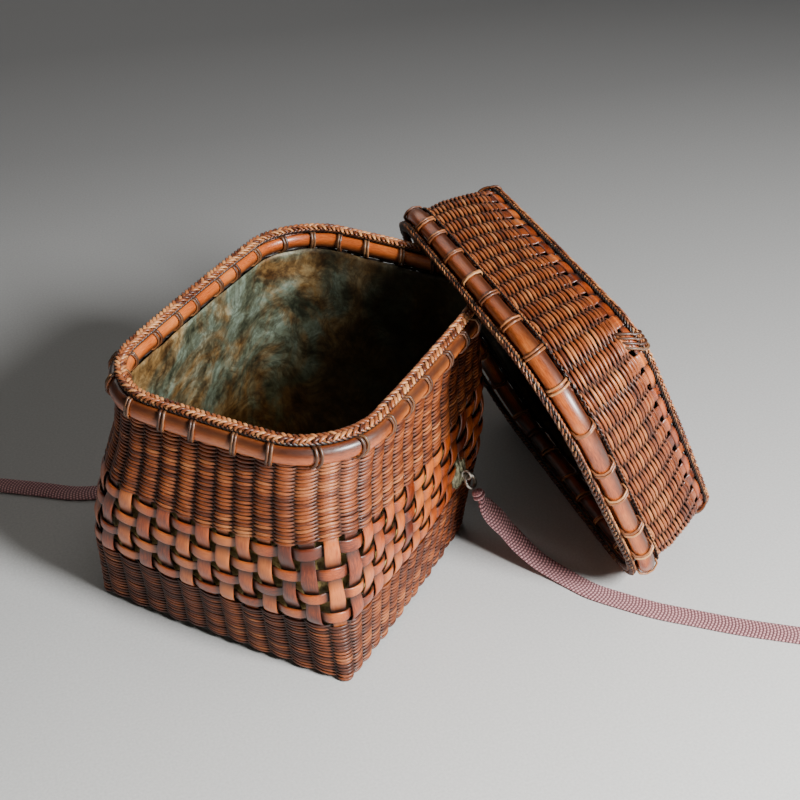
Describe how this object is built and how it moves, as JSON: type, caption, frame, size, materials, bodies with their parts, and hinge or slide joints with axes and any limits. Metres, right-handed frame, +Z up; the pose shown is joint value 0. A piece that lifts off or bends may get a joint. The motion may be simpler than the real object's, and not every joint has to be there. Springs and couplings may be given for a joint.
{
  "type": "woven tea basket with lid",
  "caption": "Lined woven cane tea basket with a square base and rounded mouth, its domed lid leaning on the rim, and a flat tie ribbon on a ring at each end.",
  "frame": {"origin": "on the surface the basket stands on, under the middle of its floor", "axes": "+Z up, +Y along the mouth's long side, +X across it toward the fitting beside the leaning lid"},
  "size_m": [0.496, 0.2791, 0.1344],
  "materials": {
    "cane_weave": "fine split cane, aged red-brown, satin",
    "cane_strip": "wide flat cane strips, lacquered orange-brown, glossy",
    "cane_hoop": "split bamboo hoop, lacquered, glossy",
    "cane_braid": "braided cane, dark red-brown, satin",
    "cane_lashing": "thin round rattan, satin",
    "patina_lining": "thin metal lining with verdigris and rust-brown patina, matte",
    "dark_bronze": "dark olive bronze, worn",
    "bright_wire": "worn pale wire, polished by use",
    "ribbon": "flat braided ribbon, dusty mauve, matte"
  },
  "bodies": {
    "basket": {"liner": "patina_lining", "base_panel": "cane_weave", "corner_feet": "cane_strip", "body_stakes": "cane_strip", "lower_weave": "cane_weave", "plaited_band": "cane_strip", "upper_weave": "cane_weave", "rim_outer_hoop": "cane_hoop", "rim_inner_hoop": "cane_hoop", "rim_braid": "cane_braid", "rim_lashings": "cane_lashing", "plaque_right": "dark_bronze", "plaque_left": "dark_bronze", "eye_right": "bright_wire", "eye_left": "bright_wire", "ribbon_right": "ribbon", "ribbon_left": "ribbon", "end_knot_right": "ribbon", "end_knot_left": "ribbon"},
    "lid": {"lid_wall_weave": "cane_weave", "lid_stakes": "cane_strip", "lid_outer_hoop": "cane_hoop", "lid_inner_hoop": "cane_hoop", "lid_mouth_braid": "cane_braid", "lid_lashings": "cane_lashing", "lid_edge_strand": "cane_braid", "lid_shoulder_strips": "cane_strip", "lid_top_border": "cane_braid", "lid_top_panel": "cane_strip", "lid_liner": "patina_lining", "lid_corner_ties": "cane_lashing"},
    "ring_right": {"ring_right": "bright_wire", "knot_right": "ribbon"},
    "ring_left": {"ring_left": "bright_wire", "knot_left": "ribbon"}
  },
  "joints": [
    {"name": "lid_tip", "type": "hinge", "parent": "basket", "child": "lid", "pos_m": [0.09281, 0.09758, 0.00318], "axis": [-0.7385, 0.6743, 0], "range_deg": [0, 44]},
    {"name": "ring_right_swing", "type": "hinge", "parent": "basket", "child": "ring_right", "pos_m": [0.0651, 0.033, 0.044], "axis": [0, -1, 0], "range_deg": [-20, 55]},
    {"name": "ring_left_swing", "type": "hinge", "parent": "basket", "child": "ring_left", "pos_m": [-0.06513, 0.033, 0.044], "axis": [0, 1, 0], "range_deg": [-20, 55]}
  ]
}
